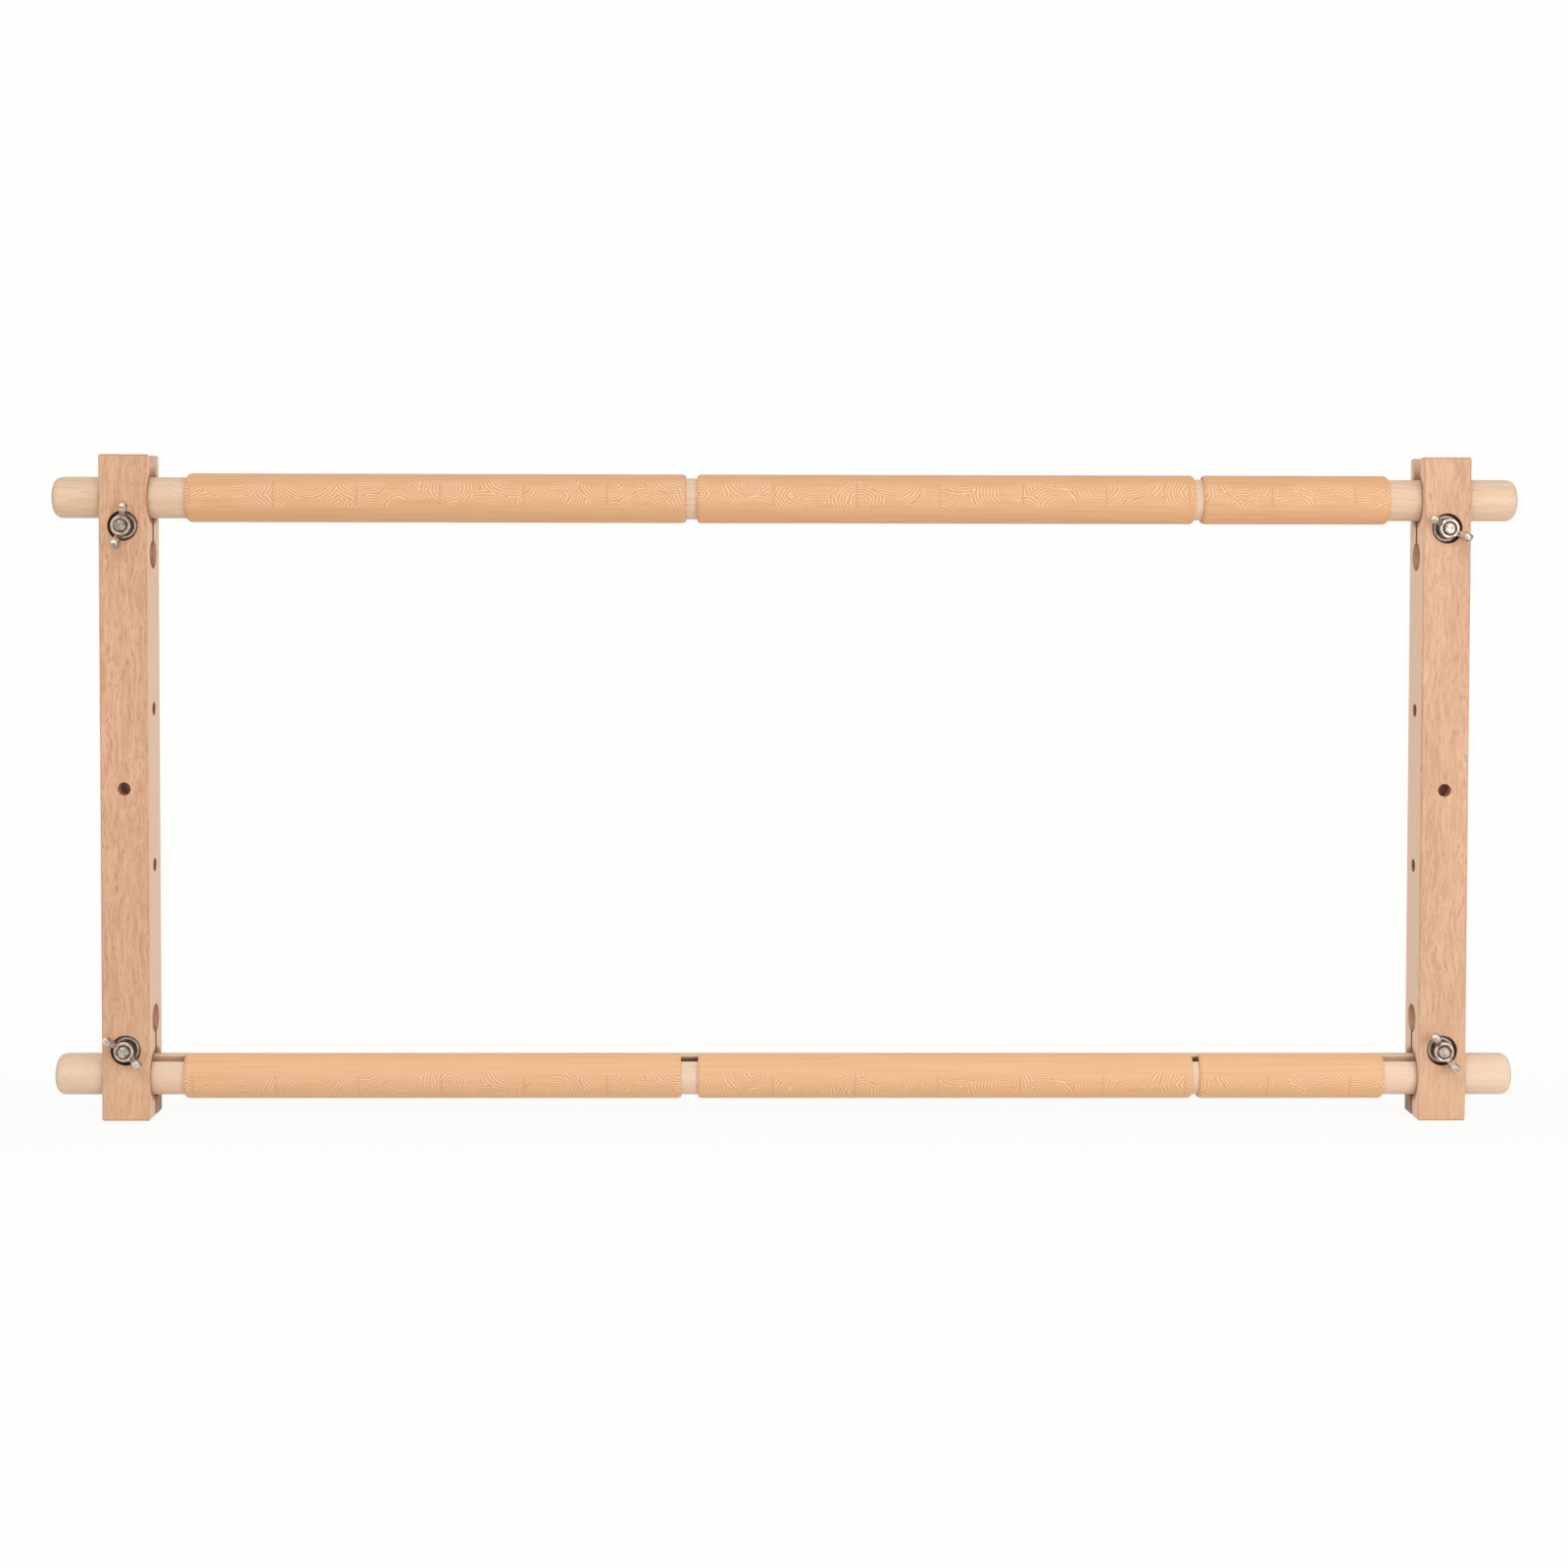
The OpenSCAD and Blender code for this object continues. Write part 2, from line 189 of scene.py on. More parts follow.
def worked_faces(tree, place, colour):
    """The rails' paler feet and right-hand rail and their much paler sides, then painted light and shade
    where they are drilled and sawn.
    """
    spot = add(tree, "ShaderNodeSeparateXYZ", inputs=[place]).outputs
    low = add(tree, "ShaderNodeMapRange", inputs=[spot[2], 20 * MM, 60 * MM, 0.3, 0.0])
    colour = add(tree, "ShaderNodeMix", {"data_type": "RGBA"}, [low, colour, linear(RAIL_LIGHT)])
    right = add(tree, "ShaderNodeMapRange", inputs=[spot[0], 0.0, RAIL_CENTRE, 0.0, 0.12])
    colour = add(tree, "ShaderNodeMix", {"data_type": "RGBA"}, [right, colour, linear(RAIL_PALE)])
    # Side faces are painted much paler: partly a paler figure on faces cut the other way, partly painted
    # light where the lamps only graze them
    side = add(tree, "ShaderNodeMapRange", inputs=[facing(tree, 0), 0.8, 0.95, 0.0, 1.0])
    paler = add(tree, "ShaderNodeMath", {"operation": "MULTIPLY"}, [side, 0.7])
    colour = add(tree, "ShaderNodeMix", {"data_type": "RGBA"}, [paler, colour, linear(RAIL_SIDE)])
    return split_ends(tree, spot, side, plain_holes(tree, spot, colour))


def plain_holes(tree, spot, colour):
    """Painted shade on the walls of the hole through the front and of the two holes through the side."""
    across, from_middle = rail_steps(tree, spot)
    past_hole = add(tree, "ShaderNodeMath", {"operation": "SUBTRACT"}, [from_middle, SIDE_HOLE_STEP])
    to_front_hole = distance(tree, across, from_middle)
    to_side_hole = distance(tree, spot[1], past_hole)
    for gap, painted_shade in ((to_front_hole, FRONT_HOLE_SHADE), (to_side_hole, SIDE_HOLE_SHADE)):
        wall = add(tree, "ShaderNodeMapRange", inputs=[
            gap, HOLE_RADIUS + 0.05 * MM, HOLE_RADIUS + 0.15 * MM, 1.0, 0.0])
        colour = add(tree, "ShaderNodeMix", {"data_type": "RGBA"}, [wall, colour, linear(painted_shade)])
    return colour


def split_ends(tree, spot, side, colour):
    """Painted light and shade on the rails' split ends: in the slots, on the feet, in the bores, saw cuts and
    counterbores.
    """
    across, from_middle = rail_steps(tree, spot)
    past_roller = add(tree, "ShaderNodeMath", {"operation": "SUBTRACT"}, [from_middle, ROLLER_STEP])
    past_bolt = add(tree, "ShaderNodeMath", {"operation": "SUBTRACT"}, [from_middle, BOLT_STEP])
    to_roller = distance(tree, spot[1], past_roller)
    to_bolt = distance(tree, across, past_bolt)
    depth = add(tree, "ShaderNodeMath", {"operation": "ABSOLUTE"}, [spot[1]])
    beyond_hole = add(tree, "ShaderNodeMath", {"operation": "GREATER_THAN"}, [from_middle, CUT_START])
    not_side = add(tree, "ShaderNodeMath", {"operation": "SUBTRACT"}, [1.0, side])
    sawn = add(tree, "ShaderNodeMath", {"operation": "MULTIPLY"}, [beyond_hole, not_side])

    # The slots' walls: painted light at the top of the frame and painted shade next to the rollers
    slot = add(tree, "ShaderNodeMapRange", inputs=[
        depth, TOP_SLOT_HALF + 0.2 * MM, TOP_SLOT_HALF + 0.6 * MM, 1.0, 0.0])
    slot = add(tree, "ShaderNodeMath", {"operation": "MULTIPLY"}, [slot, sawn])
    upper = add(tree, "ShaderNodeMapRange", inputs=[spot[2], 280 * MM, 290 * MM, 0.0, 0.35])
    slot_painted_light = add(tree, "ShaderNodeMath", {"operation": "MULTIPLY"}, [slot, upper])
    colour = add(tree, "ShaderNodeMix", {"data_type": "RGBA"}, [slot_painted_light, colour, linear(RAIL_SIDE)])
    outer = add(tree, "ShaderNodeMath", {"operation": "GREATER_THAN"}, [past_roller, 0.0])
    near_roller = add(tree, "ShaderNodeMapRange", inputs=[past_roller, ROLLER_RADIUS, 15 * MM, 0.7, 0.0])
    wear_and_shade = add(tree, "ShaderNodeMath", {"operation": "MULTIPLY"}, [outer, near_roller])
    slot = add(tree, "ShaderNodeMath", {"operation": "MULTIPLY"}, [slot, wear_and_shade])

    # Painted shade on the sides of the feet, behind their slots
    low = add(tree, "ShaderNodeMapRange", inputs=[spot[2], 10 * MM, 14 * MM, 0.7, 0.0])
    behind = add(tree, "ShaderNodeMath", {"operation": "GREATER_THAN"}, [spot[1], 0.0])
    foot = add(tree, "ShaderNodeMath", {"operation": "MULTIPLY"}, [low, side])
    foot = add(tree, "ShaderNodeMath", {"operation": "MULTIPLY"}, [foot, behind])
    painted_shade = add(tree, "ShaderNodeMath", {"operation": "MAXIMUM"}, [slot, foot])
    colour = add(tree, "ShaderNodeMix", {"data_type": "RGBA"}, [painted_shade, colour, linear(RAIL_PAINTED_SHADE)])

    # Painted shade inside the bores and saw cuts and round the bores' mouths
    bore = add(tree, "ShaderNodeMapRange", inputs=[
        to_roller, BORE_MOUTH + 0.4 * MM, BORE_MOUTH + 1.5 * MM, 0.9, 0.0])
    rim = add(tree, "ShaderNodeMapRange", inputs=[
        to_roller, BORE_MOUTH + 1.3 * MM, BORE_MOUTH + 2.9 * MM, 0.8, 0.0])
    rim = add(tree, "ShaderNodeMath", {"operation": "MULTIPLY"}, [rim, side])
    kerf = add(tree, "ShaderNodeMapRange", inputs=[
        depth, KERF_HALF + 0.05 * MM, KERF_HALF + 0.35 * MM, 0.95, 0.0])
    kerf = add(tree, "ShaderNodeMath", {"operation": "MULTIPLY"}, [kerf, sawn])
    dark = add(tree, "ShaderNodeMath", {"operation": "MAXIMUM"}, [bore, rim])
    dark = add(tree, "ShaderNodeMath", {"operation": "MAXIMUM"}, [dark, kerf])
    colour = add(tree, "ShaderNodeMix", {"data_type": "RGBA"}, [dark, colour, linear(GAP_SHADE_BROWN)])

    # Painted shade in the counterbores, darkest on their walls
    seat_shade = add(tree, "ShaderNodeMapRange", inputs=[
        to_bolt, COUNTERBORE - 0.6 * MM, COUNTERBORE - 0.3 * MM, 0.3, 0.95])
    inside = add(tree, "ShaderNodeMath", {"operation": "LESS_THAN"}, [to_bolt, COUNTERBORE + 0.15 * MM])
    in_front = add(tree, "ShaderNodeMath", {"operation": "LESS_THAN"}, [spot[1], -4 * MM])
    seat_shade = add(tree, "ShaderNodeMath", {"operation": "MULTIPLY"}, [seat_shade, inside])
    seat_shade = add(tree, "ShaderNodeMath", {"operation": "MULTIPLY"}, [seat_shade, in_front])
    return add(tree, "ShaderNodeMix", {"data_type": "RGBA"}, [seat_shade, colour, linear(COUNTERBORE_SHADE)])


def dress(node_names, material):
    """Gives the solids' own meshes a material."""
    for name in node_names:
        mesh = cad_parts[name].data
        mesh.materials.clear()
        mesh.materials.append(material)


# Beech shows short dark flecks between narrow growth lines, and is nearly matt
beech = wood("planed_beech", 2, RAIL_TAN, RAIL_ROSE, RAIL_FLECK, RAIL_END, {
    "sway": 8.0, "line": (1.3, 18), "line_reach": 0.75, "fleck": (0.6, 4), "fleck_reach": 0.6, "rough": 0.6},
    worked_faces)
dress(["left_rail", "right_rail"], beech)

# Rollers
# Two 19 mm dowels of a paler wood, turned and sanded smooth, with rounded
# ends. A stopped groove 3.6 mm wide runs along each one for the clips' ribs.

ROLLER_PALE = "#F7DDC8"
ROLLER_CREAM = "#E6CAAE"
ROLLER_TAN = "#DAB897"
ROLLER_FLECK = "#BE9474"
ROLLER_END = "#D2AD88"
GROOVE_SHADE_BROWN = "#87573A"


def turned_faces(tree, place, colour):
    """A paler colour for the bottom roller and toward the right, and painted shade in the grooves, darkest in
    the middle.
    """
    spot = add(tree, "ShaderNodeSeparateXYZ", inputs=[place]).outputs
    bottom = add(tree, "ShaderNodeMath", {"operation": "LESS_THAN"}, [spot[2], RAIL_MIDDLE])
    bottom = add(tree, "ShaderNodeMath", {"operation": "MULTIPLY"}, [bottom, 0.35])
    right = add(tree, "ShaderNodeMapRange", inputs=[spot[0], -RAIL_CENTRE, RAIL_CENTRE, 0.0, 0.12])
    paler = add(tree, "ShaderNodeMath", {"operation": "ADD"}, [bottom, right])
    colour = add(tree, "ShaderNodeMix", {"data_type": "RGBA"}, [paler, colour, linear(ROLLER_PALE)])
    from_middle = rail_steps(tree, spot)[1]
    past_axis = add(tree, "ShaderNodeMath", {"operation": "SUBTRACT"}, [from_middle, ROLLER_STEP])
    to_axis = distance(tree, spot[1], past_axis)
    # Painted shade in the grooves: strong between the rails' middles, faint toward the rails
    deep = add(tree, "ShaderNodeMapRange", inputs=[
        to_axis, ROLLER_RADIUS - 1.3 * MM, ROLLER_RADIUS - 0.8 * MM, 1.0, 0.0])
    along = add(tree, "ShaderNodeMath", {"operation": "ABSOLUTE"}, [spot[0]])
    darker = add(tree, "ShaderNodeMapRange", inputs=[along, 230 * MM, 260 * MM, 0.8, 0.12])
    between_rails = add(tree, "ShaderNodeMath", {"operation": "LESS_THAN"}, [along, RAIL_CENTRE])
    groove = add(tree, "ShaderNodeMath", {"operation": "MULTIPLY"}, [deep, darker])
    groove = add(tree, "ShaderNodeMath", {"operation": "MULTIPLY"}, [groove, between_rails])
    return add(tree, "ShaderNodeMix", {"data_type": "RGBA"}, [groove, colour, linear(GROOVE_SHADE_BROWN)])


# The dowels' wood is paler and plainer than beech, with long faint lines
pale_dowel = wood("turned_pale_dowel", 0, ROLLER_CREAM, ROLLER_TAN, ROLLER_FLECK, ROLLER_END, {
    "sway": 1.5, "line": (1.8, 30), "line_reach": 0.65, "fleck": (0.8, 5), "fleck_reach": 0.4, "rough": 0.55},
    turned_faces)
dress(["top_roller", "bottom_roller"], pale_dowel)

# Clips
# Six open tubes of tan plastic, bevelled at the ends, with rounded lips and
# a rib inside that hooks into the roller's groove. Each one springs over the
# cloth, and a faint moulded ring grain runs along its front.

CLIP_TAN = "#EBBA8D"
CLIP_LIGHT = "#F9CFA8"
CLIP_DEEP = "#D39B6C"
CLIP_INNER = 9.6 * MM
CLIP_WALL = 1.6 * MM
CLIP_OUTER = CLIP_INNER + CLIP_WALL
AXIS_HEIGHT = {"top": RAIL_MIDDLE + ROLLER_STEP, "bottom": RAIL_MIDDLE - ROLLER_STEP}
ROLLER_TURN = {"top": math.radians(0), "bottom": math.radians(33)}
CLIP_STARTS = {
    "top": {"left": -274.3 * MM, "middle": -40.9 * MM, "short": 191.3 * MM},
    "bottom": {"left": -276.2 * MM, "middle": -40.3 * MM, "short": 191.0 * MM},
}
CLIP_LENGTHS = {"left": 228 * MM, "middle": 228 * MM, "short": 85 * MM}
GRAIN_MIDDLE = {"top": math.radians(10.7), "bottom": math.radians(-22)}
# Painted shade: how far each row's plastic is darkened, the top row more
CLIP_SHADE = {"top": 0.42, "bottom": 0.0}
PANEL_WIDTH = 38 * MM
# Knots for each metre along and round a clip, and the phase that their rings run through in one cell
KNOTS_PER_METRE = (44.0, 56.0, 1.0)
RING_PHASE = 95.0
# What of a strip counts as its very edge, and how far the rib's root is sunk in the wall
EDGE_REACH = 0.1 * MM
RIB_ROOT = 0.3 * MM


def ring_relief(tree, flat, along, round_way):
    """Grain rings round scattered knots, in a band of uneven width, and the lines between panels."""
    # Knots lie about 20 mm apart, with rings 1.4 mm apart round them
    wander = add(tree, "ShaderNodeTexNoise", inputs={"Vector": flat, "Scale": 160.0, "Detail": 1.0})
    shift = add(tree, "ShaderNodeVectorMath", {"operation": "MULTIPLY_ADD"}, [
        wander.outputs["Color"], (2.6 * MM, 2.6 * MM, 0.0), flat])
    cell = add(tree, "ShaderNodeMapping", inputs={"Vector": shift, "Scale": KNOTS_PER_METRE})
    knots = add(tree, "ShaderNodeTexVoronoi", {"voronoi_dimensions": "2D"}, {
        "Vector": cell, "Scale": 1.0, "Randomness": 0.9})
    turned = add(tree, "ShaderNodeMath", {"operation": "MULTIPLY"}, [knots.outputs["Distance"], RING_PHASE])
    rings = add(tree, "ShaderNodeMath", {"operation": "SINE"}, [turned])
    from_band = add(tree, "ShaderNodeMath", {"operation": "ABSOLUTE"}, [round_way])
    patches = add(tree, "ShaderNodeTexNoise", inputs={"Vector": flat, "Scale": 48.0, "Detail": 2.0})
    reach = add(tree, "ShaderNodeMapRange", inputs=[patches, 0.42, 0.6, 2.5 * MM, 6.5 * MM])
    past_band = add(tree, "ShaderNodeMath", {"operation": "SUBTRACT"}, [from_band, reach])
    band = add(tree, "ShaderNodeMapRange", inputs=[past_band, -0.8 * MM, 1.2 * MM, 1.0, 0.0])
    wear_and_shade = add(tree, "ShaderNodeMapRange", inputs=[patches, 0.3, 0.38, 0.3, 1.0])
    relief = add(tree, "ShaderNodeMath", {"operation": "MULTIPLY"}, [rings, band])
    relief = add(tree, "ShaderNodeMath", {"operation": "MULTIPLY"}, [relief, wear_and_shade])

    # Thin upright lines part the panels
    shifted = add(tree, "ShaderNodeMath", {"operation": "ADD"}, [along, 6 * MM])
    to_line = add(tree, "ShaderNodeMath", {"operation": "PINGPONG"}, [shifted, PANEL_WIDTH / 2])
    line = add(tree, "ShaderNodeMapRange", inputs=[to_line, 0.25 * MM, 0.6 * MM, 0.8, 0.0])
    tall = add(tree, "ShaderNodeMapRange", inputs=[from_band, 5 * MM, 6 * MM, 1.0, 0.0])
    line = add(tree, "ShaderNodeMath", {"operation": "MULTIPLY"}, [line, tall])
    return add(tree, "ShaderNodeMath", {"operation": "SUBTRACT"}, [relief, line])


def moulded_plastic(name, axis_height, front, row_shade):
    """Tan plastic, satin from the mould, with raised grain rings along its front, faint long grain and a
    row's painted shade.
    """
    material = new_material(name)
    tree = material.node_tree
    place = add(tree, "ShaderNodeTexCoord").outputs["Object"]
    spot = add(tree, "ShaderNodeSeparateXYZ", inputs=[place]).outputs
    up = add(tree, "ShaderNodeMath", {"operation": "SUBTRACT"}, [spot[2], axis_height])
    out = add(tree, "ShaderNodeMath", {"operation": "MULTIPLY"}, [spot[1], -1.0])
    angle = add(tree, "ShaderNodeMath", {"operation": "ARCTAN2"}, [up, out])
    about = add(tree, "ShaderNodeMath", {"operation": "SUBTRACT"}, [angle, front])
    round_way = add(tree, "ShaderNodeMath", {"operation": "MULTIPLY"}, [about, CLIP_OUTER])
    flat = add(tree, "ShaderNodeCombineXYZ", inputs=[spot[0], round_way, 0.0])
    relief = ring_relief(tree, flat, spot[0], round_way)

    long_way = add(tree, "ShaderNodeMapping", inputs={"Vector": flat, "Scale": (16.0, 700.0, 1.0)})
    streaks = add(tree, "ShaderNodeTexNoise", inputs={"Vector": long_way, "Scale": 1.0, "Detail": 2.0})
    # Long grain streaks, with the top row's painted shade added on
    shade = add(tree, "ShaderNodeMapRange", inputs=[streaks, 0.42, 0.7, row_shade, row_shade + 0.3])
    colour = add(tree, "ShaderNodeMix", {"data_type": "RGBA"}, [shade, linear(CLIP_TAN), linear(CLIP_DEEP)])
    crest = add(tree, "ShaderNodeMapRange", inputs=[relief, 0.0, 0.9, 0.0, 0.85])
    colour = add(tree, "ShaderNodeMix", {"data_type": "RGBA"}, [crest, colour, linear(CLIP_LIGHT)])
    hollow = add(tree, "ShaderNodeMapRange", inputs=[relief, -1.0, 0.0, 0.5, 0.0])
    colour = add(tree, "ShaderNodeMix", {"data_type": "RGBA"}, [hollow, colour, linear(CLIP_DEEP)])

    # The moulded skin has a fine grain, drawn 0.5 mm coarse
    skin = add(tree, "ShaderNodeTexNoise", inputs={"Vector": place, "Scale": 2000.0, "Detail": 1.0})
    fine = add(tree, "ShaderNodeBump", inputs={"Height": skin, "Strength": 0.12, "Distance": 0.05 * MM})
    bump = add(tree, "ShaderNodeBump", inputs={
        "Height": relief, "Strength": 0.7, "Distance": 0.13 * MM, "Normal": fine})
    shader = add(tree, "ShaderNodeBsdfPrincipled", inputs={
        "Base Color": colour, "Roughness": 0.5, "IOR": 1.49, "Specular IOR Level": 0.35, "Normal": bump})
    add(tree, "ShaderNodeOutputMaterial", inputs={"Surface": shader})
    return material


def new_tree(name, inputs):
    """An empty Geometry Nodes tree with named inputs, and its input node."""
    tree = bpy.data.node_groups.new(name, "GeometryNodeTree")
    tree.interface.new_socket("Geometry", in_out="OUTPUT", socket_type="NodeSocketGeometry")
    for label, kind in inputs.items():
        tree.interface.new_socket(label, in_out="INPUT", socket_type="NodeSocket" + kind)
    return tree, add(tree, "NodeGroupInput").outputs


def close_tree(tree, parts, material):
    """Joins the parts, makes them plain geometry and gives them their material."""
    joined = add(tree, "GeometryNodeJoinGeometry")
    for part in parts:
        tree.links.new(part.outputs[0], joined.inputs[0])
    plain = add(tree, "GeometryNodeRealizeInstances", inputs={"Geometry": joined})
    dressed = add(tree, "GeometryNodeSetMaterial", inputs={"Geometry": plain, "Material": material})
    add(tree, "NodeGroupOutput", inputs={"Geometry": dressed})


def grown(tree, values):
    """The plain mesh that a Geometry Nodes tree makes from its named inputs."""
    maker = bpy.data.objects.new("maker", bpy.data.meshes.new("maker"))
    bpy.context.scene.collection.objects.link(maker)
    modifier = maker.modifiers.new("shape", "NODES")
    modifier.node_group = tree
    for item in tree.interface.items_tree:
        if item.in_out == "INPUT":
            modifier[item.identifier] = values[item.name]
    ready = maker.evaluated_get(bpy.context.evaluated_depsgraph_get())
    mesh = bpy.data.meshes.new_from_object(ready)
    maker.modifiers.remove(modifier)
    bpy.data.objects.remove(maker)
    return mesh


def place_piece(name, mesh, node, body, sharp=math.radians(32)):
    """Puts a finished mesh in the scene in place of its CAD node."""
    mesh.name = name
    mesh.shade_smooth()
    mesh.set_sharp_from_angle(angle=sharp)
    piece = bpy.data.objects.new(name, mesh)
    bpy.context.scene.collection.objects.link(piece)
    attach(piece, body)
    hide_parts(node)
    return piece


def bent_block(tree, size, steps, shape, middle_radius, middle_angle, start, axis_height):
    """A box bent round the roller: its X runs along the roller, its Y round it and its Z outwards."""
    box = add(tree, "GeometryNodeMeshCube", inputs={
        "Size": size, "Vertices X": steps[0], "Vertices Y": steps[1], "Vertices Z": steps[2]})
    spot = add(tree, "ShaderNodeSeparateXYZ", inputs=[add(tree, "GeometryNodeInputPosition")])
    along, way, depth = shape(*spot.outputs[:3])
    turn = add(tree, "ShaderNodeMath", {"operation": "DIVIDE"}, [way, middle_radius])
    angle = add(tree, "ShaderNodeMath", {"operation": "ADD"}, [turn, middle_angle])
    radius = add(tree, "ShaderNodeMath", {"operation": "ADD"}, [depth, middle_radius])
    sine = add(tree, "ShaderNodeMath", {"operation": "SINE"}, [angle])
    cosine = add(tree, "ShaderNodeMath", {"operation": "COSINE"}, [angle])
    x = add(tree, "ShaderNodeMath", {"operation": "ADD"}, [along, start])
    y = add(tree, "ShaderNodeMath", {"operation": "MULTIPLY"}, [radius, sine])
    z = add(tree, "ShaderNodeMath", {"operation": "MULTIPLY_ADD"}, [radius, cosine, axis_height])
    place = add(tree, "ShaderNodeCombineXYZ", inputs=[x, y, z])
    return add(tree, "GeometryNodeSetPosition", inputs={"Geometry": box, "Position": place})


# A clip is a flat strip bent round its roller, with a rib bent the same way
tree, given = new_tree("spring_clip", {
    "Length": "Float", "Middle X": "Float", "Axis Height": "Float", "Inner Radius": "Float", "Wall": "Float",
    "Sweep": "Float", "Middle Angle": "Float", "Bevel Length": "Float", "Bevel Depth": "Float",
    "Rib Width": "Float", "Rib Height": "Float", "Rib Angle": "Float", "Material": "Material"})
half_wall = add(tree, "ShaderNodeMath", {"operation": "MULTIPLY"}, [given["Wall"], 0.5])
half_length = add(tree, "ShaderNodeMath", {"operation": "MULTIPLY"}, [given["Length"], 0.5])
wall_radius = add(tree, "ShaderNodeMath", {"operation": "ADD"}, [given["Inner Radius"], half_wall])
girth = add(tree, "ShaderNodeMath", {"operation": "MULTIPLY"}, [given["Sweep"], wall_radius])
half_girth = add(tree, "ShaderNodeMath", {"operation": "MULTIPLY"}, [girth, 0.5])


def clip_wall_shape(along, way, depth):
    """Bevels the box's ends on the outside and rounds the two lips."""
    last_ring = add(tree, "ShaderNodeMath", {"operation": "SUBTRACT"}, [half_length, EDGE_REACH])
    out_along = add(tree, "ShaderNodeMath", {"operation": "ABSOLUTE"}, [along])
    at_end = add(tree, "ShaderNodeMath", {"operation": "GREATER_THAN"}, [out_along, last_ring])
    bevel_share = add(tree, "ShaderNodeMath", {"operation": "DIVIDE"}, [given["Bevel Depth"], given["Wall"]])
    taken = add(tree, "ShaderNodeMath", {"operation": "MULTIPLY"}, [at_end, bevel_share])
    kept = add(tree, "ShaderNodeMath", {"operation": "SUBTRACT"}, [1.0, taken])
    from_inside = add(tree, "ShaderNodeMath", {"operation": "ADD"}, [depth, half_wall])
    height = add(tree, "ShaderNodeMath", {"operation": "MULTIPLY"}, [from_inside, kept])
    height = add(tree, "ShaderNodeMath", {"operation": "SUBTRACT"}, [height, half_wall])

    last_row = add(tree, "ShaderNodeMath", {"operation": "SUBTRACT"}, [half_girth, EDGE_REACH])
    out_round = add(tree, "ShaderNodeMath", {"operation": "ABSOLUTE"}, [way])
    at_lip = add(tree, "ShaderNodeMath", {"operation": "GREATER_THAN"}, [out_round, last_row])
    depth_squared = add(tree, "ShaderNodeMath", {"operation": "MULTIPLY"}, [depth, depth])
    wall_squared = add(tree, "ShaderNodeMath", {"operation": "MULTIPLY"}, [half_wall, half_wall])
    room = add(tree, "ShaderNodeMath", {"operation": "SUBTRACT"}, [wall_squared, depth_squared])
    room = add(tree, "ShaderNodeMath", {"operation": "MAXIMUM"}, [room, 0.0])
    swell = add(tree, "ShaderNodeMath", {"operation": "SQRT"}, [room])
    swell = add(tree, "ShaderNodeMath", {"operation": "MULTIPLY"}, [swell, at_lip])
    outwards = add(tree, "ShaderNodeMath", {"operation": "SIGN"}, [way])
    swell = add(tree, "ShaderNodeMath", {"operation": "MULTIPLY"}, [swell, outwards])
    rounded = add(tree, "ShaderNodeMath", {"operation": "ADD"}, [way, swell])
    return along, rounded, height


steps = add(tree, "ShaderNodeMath", {"operation": "DIVIDE"}, [given["Length"], given["Bevel Length"]])
steps = add(tree, "ShaderNodeMath", {"operation": "ROUND"}, [steps])
rings = add(tree, "ShaderNodeMath", {"operation": "ADD"}, [steps, 1.0])
wall_size = add(tree, "ShaderNodeCombineXYZ", inputs=[given["Length"], girth, given["Wall"]])
shell = bent_block(
    tree, size=wall_size, steps=(rings, 120, 7), shape=clip_wall_shape, middle_radius=wall_radius,
    middle_angle=given["Middle Angle"], start=given["Middle X"], axis_height=given["Axis Height"])
rib_deep = add(tree, "ShaderNodeMath", {"operation": "ADD"}, [given["Rib Height"], RIB_ROOT])
rib_size = add(tree, "ShaderNodeCombineXYZ", inputs=[given["Length"], given["Rib Width"], rib_deep])
rib_outside = add(tree, "ShaderNodeMath", {"operation": "ADD"}, [given["Inner Radius"], RIB_ROOT])
half_rib = add(tree, "ShaderNodeMath", {"operation": "MULTIPLY"}, [rib_deep, 0.5])
rib_radius = add(tree, "ShaderNodeMath", {"operation": "SUBTRACT"}, [rib_outside, half_rib])
rib = bent_block(
    tree, size=rib_size, steps=(2, 5, 2), shape=lambda *spot: spot, middle_radius=rib_radius,
    middle_angle=given["Rib Angle"], start=given["Middle X"], axis_height=given["Axis Height"])
close_tree(tree, [shell, rib], given["Material"])

for row in ("top", "bottom"):
    plastic = moulded_plastic(
        f"moulded_clip_plastic_{row}", AXIS_HEIGHT[row], GRAIN_MIDDLE[row], CLIP_SHADE[row])
    for spot, start in CLIP_STARTS[row].items():
        clip = grown(tree, {
            "Length": CLIP_LENGTHS[spot], "Middle X": start + CLIP_LENGTHS[spot] / 2,
            "Axis Height": AXIS_HEIGHT[row], "Inner Radius": CLIP_INNER, "Wall": CLIP_WALL,
            "Sweep": math.radians(230), "Middle Angle": math.radians(253) - ROLLER_TURN[row],
            "Bevel Length": 1.2 * MM, "Bevel Depth": 0.6 * MM, "Rib Width": 2.6 * MM, "Rib Height": 2.5 * MM,
            "Rib Angle": -ROLLER_TURN[row], "Material": plastic})
        node = f"{row}_{spot}_clip"
        place_piece(
            f"{row}_{spot}_moulded_clip", clip, node, node, sharp=math.radians(20))

# Bolts
# Four M5 by 30 carriage bolts, cold-headed and zinc plated: a domed head on
# the back of the rail, a square neck in the wood and a rolled thread whose
# end stands out of the nut.

